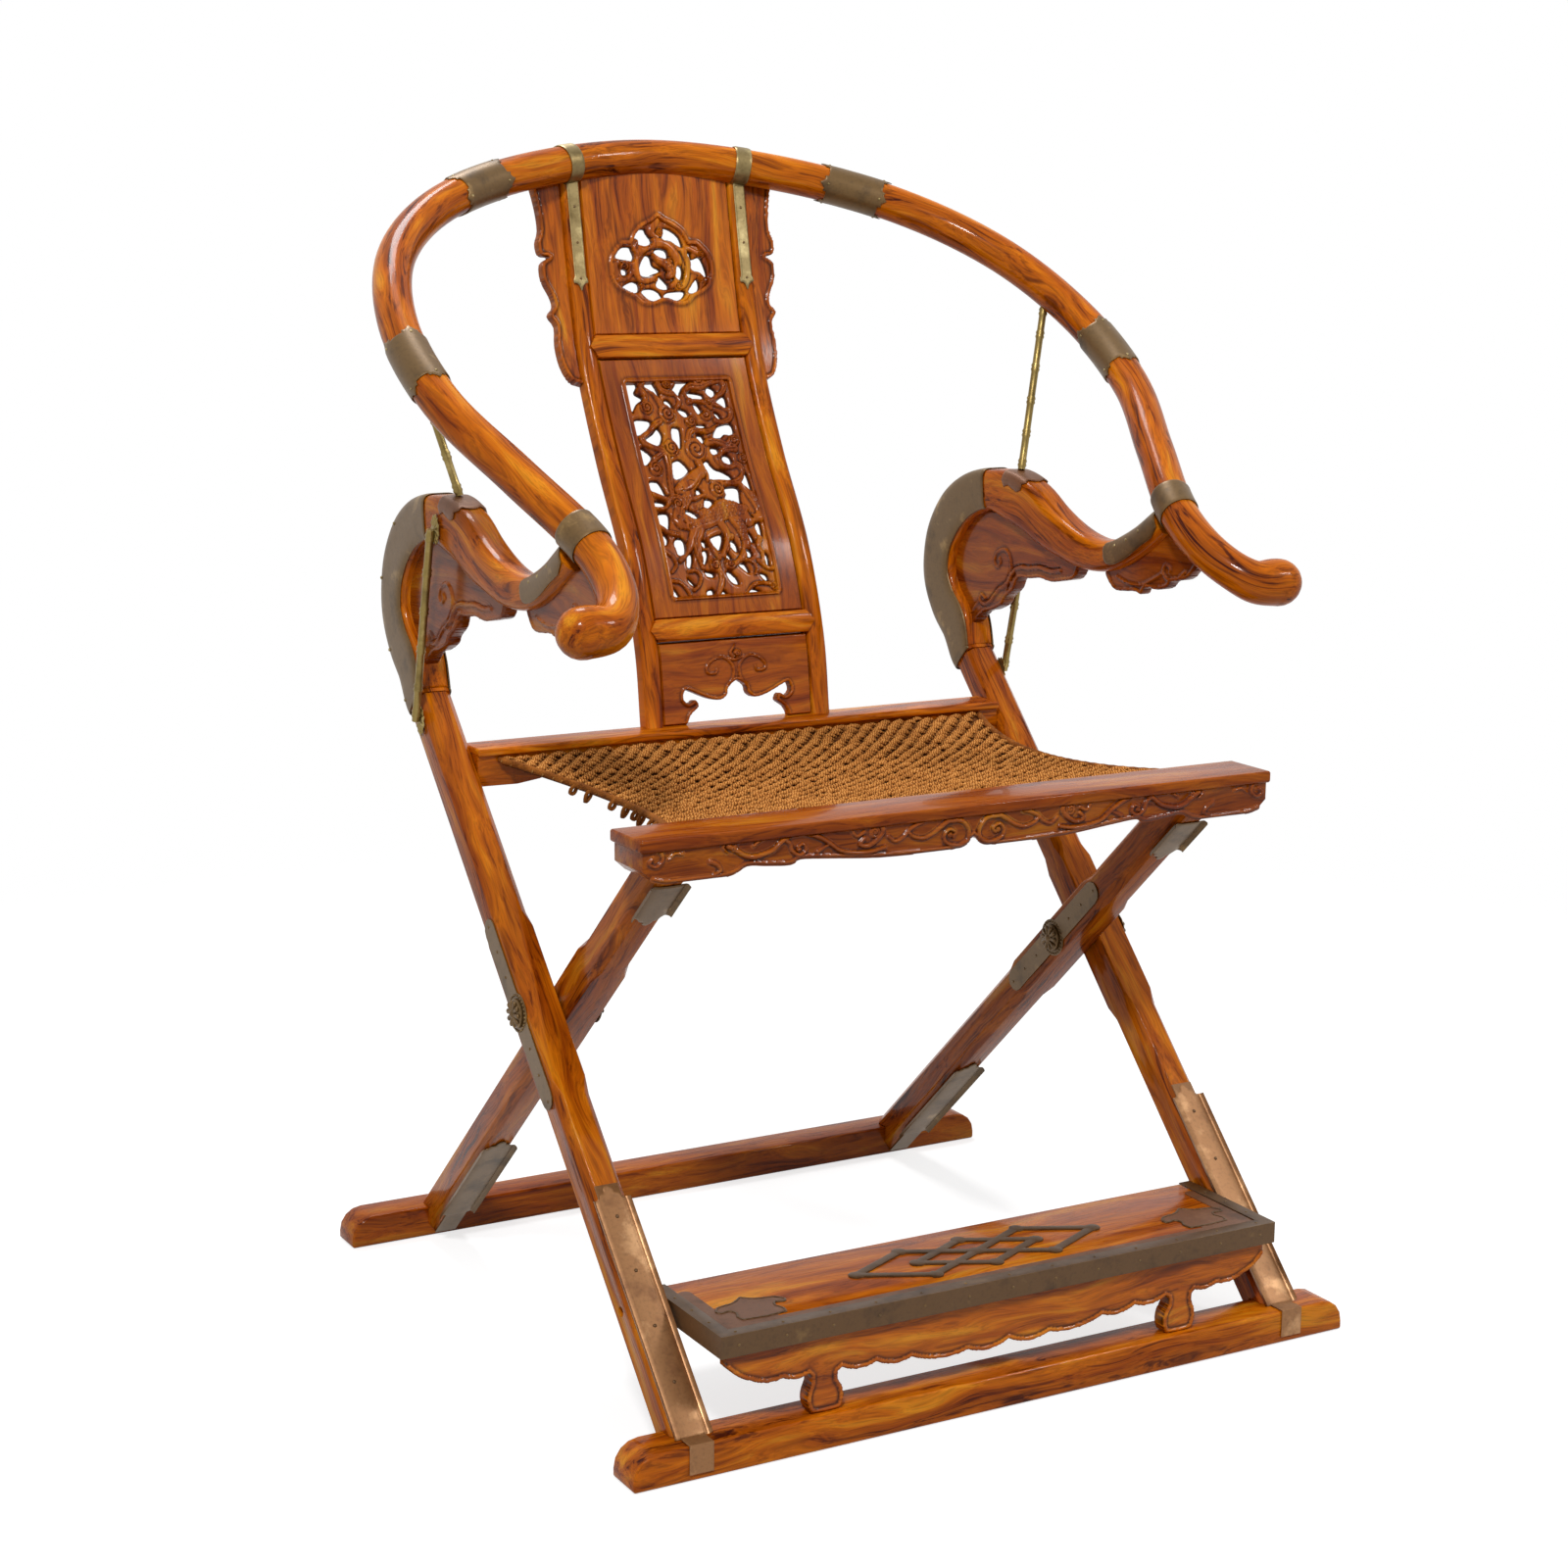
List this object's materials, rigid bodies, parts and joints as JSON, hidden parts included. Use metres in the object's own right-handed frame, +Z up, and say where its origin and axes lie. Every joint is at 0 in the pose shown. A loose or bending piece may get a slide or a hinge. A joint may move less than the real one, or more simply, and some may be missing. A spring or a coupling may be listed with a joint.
{
  "type": "folding armchair",
  "caption": "Folding horseshoe-back armchair: crossed hardwood legs on a pin, curved arm rail, carved back, woven rope seat, hinged footrest and brass fittings.",
  "frame": {"origin": "on the floor, under the middle of the chair's bounding box", "axes": "+Z up, the sitter faces -Y, +X to the right as seen from the front"},
  "size_m": [0.7602, 0.7052, 1.0634],
  "materials": {
    "oiled_rosewood": "glossy oiled reddish-brown hardwood with dark figure",
    "carved_panel_rosewood": "carved, oiled, darker in the recesses",
    "aged_brass": "olive-brown patina, worn brighter at edges",
    "rubbed_brass": "brighter rubbed brass",
    "iron_pin": "dull forged pin",
    "twisted_rope": "golden-brown twisted palm-fibre rope"
  },
  "bodies": {
    "outer_frame": {"arm_rail_back": "oiled_rosewood", "arm_rail_front_left": "oiled_rosewood", "arm_rail_front_right": "oiled_rosewood", "arm_rail_shoulder_left": "oiled_rosewood", "arm_rail_shoulder_right": "oiled_rosewood", "arm_sleeve_left": "aged_brass", "arm_sleeve_right": "aged_brass", "arm_spandrel_left": "carved_panel_rosewood", "arm_spandrel_right": "carved_panel_rosewood", "arm_strap_left": "aged_brass", "arm_strap_right": "aged_brass", "back_stile_left": "oiled_rosewood", "back_stile_right": "oiled_rosewood", "back_strap_left": "rubbed_brass", "back_strap_right": "rubbed_brass", "back_wing_left": "carved_panel_rosewood", "back_wing_right": "carved_panel_rosewood", "bend_plate_left": "aged_brass", "bend_plate_right": "aged_brass", "bend_spandrel_left": "carved_panel_rosewood", "bend_spandrel_right": "carved_panel_rosewood", "footrest_pin_left": "iron_pin", "footrest_pin_right": "iron_pin", "front_floor_stretcher": "oiled_rosewood", "goose_neck_left": "oiled_rosewood", "goose_neck_right": "oiled_rosewood", "lower_back_panel": "carved_panel_rosewood", "lower_back_rail": "oiled_rosewood", "lower_rod_left": "rubbed_brass", "lower_rod_right": "rubbed_brass", "middle_back_panel": "carved_panel_rosewood", "outer_leg_left": "oiled_rosewood", "outer_leg_right": "oiled_rosewood", "outer_pivot_plate_left": "aged_brass", "outer_pivot_plate_right": "aged_brass", "outer_shoe_left": "aged_brass", "outer_shoe_right": "aged_brass", "pivot_pin_left": "aged_brass", "pivot_pin_right": "aged_brass", "post_bend_left": "oiled_rosewood", "post_bend_right": "oiled_rosewood", "rear_seat_rail": "oiled_rosewood", "rope_seat": "twisted_rope", "shoulder_sleeve_left": "aged_brass", "shoulder_sleeve_right": "aged_brass", "upper_back_panel": "carved_panel_rosewood", "upper_back_rail": "oiled_rosewood", "upper_rod_left": "rubbed_brass", "upper_rod_right": "rubbed_brass"},
    "inner_frame": {"front_seat_rail": "oiled_rosewood", "inner_leg_left": "oiled_rosewood", "inner_leg_right": "oiled_rosewood", "rear_floor_stretcher": "oiled_rosewood", "inner_pivot_plate_left": "aged_brass", "inner_pivot_plate_right": "aged_brass", "inner_shoe_left": "aged_brass", "inner_shoe_right": "aged_brass"},
    "footrest": {"footrest_board": "oiled_rosewood", "footrest_edging": "aged_brass", "footrest_apron": "oiled_rosewood"}
  },
  "joints": [
    {"name": "fold", "type": "hinge", "parent": "outer_frame", "child": "inner_frame", "pos_m": [0, -0.0408, 0.3112], "axis": [-1, 0, 0], "range_deg": [0, 75], "deforming": ["rope_seat"]},
    {"name": "footrest_fold", "type": "hinge", "parent": "outer_frame", "child": "footrest", "pos_m": [0, -0.24, 0.106], "axis": [-1, 0, 0], "range_deg": [0, 130]}
  ]
}
